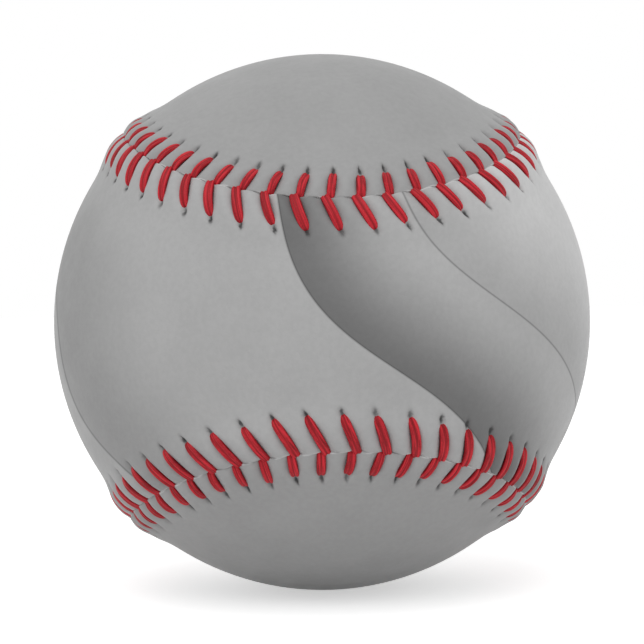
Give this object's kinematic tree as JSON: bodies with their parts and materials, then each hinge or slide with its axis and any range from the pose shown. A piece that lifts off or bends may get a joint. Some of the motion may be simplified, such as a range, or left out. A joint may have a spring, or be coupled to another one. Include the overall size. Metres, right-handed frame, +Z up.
{
  "type": "baseball",
  "caption": "Ball with a cushioned cork centre, wound yarn layers and a leather cover of interlocking figure-eight panels, sewn along one raised seam with red thread.",
  "frame": {"origin": "centre of the ball", "axes": "-Y out through the waist of the front panel, +Z up through the middle of the back panel's upper lobe, +X through the front panel's right lobe"},
  "size_m": [0.0744, 0.0744, 0.0744],
  "materials": {
    "cork": "ground cork bound with rubber, matt",
    "black_rubber": "moulded rubber, matt",
    "red_rubber": "moulded rubber, matt",
    "grey_wool": "wound wool yarn",
    "white_wool": "wound wool yarn",
    "cotton": "fine wound finishing yarn",
    "adhesive": "dried latex adhesive, satin",
    "printed_leather": "smooth leather with a soft grey print, satin",
    "plain_leather": "smooth grey leather, satin",
    "red_thread": "waxed thread"
  },
  "bodies": {
    "root": {"cork_core": "cork", "black_shell_upper": "black_rubber", "black_shell_lower": "black_rubber", "red_gasket": "red_rubber", "red_shell": "red_rubber", "grey_wool_inner": "grey_wool", "white_wool": "white_wool", "grey_wool_outer": "grey_wool", "cotton_winding": "cotton", "adhesive_coat": "adhesive", "cover_panel_front": "printed_leather", "cover_panel_back": "plain_leather", "stitches_front": "red_thread", "stitches_back": "red_thread"}
  },
  "joints": []
}
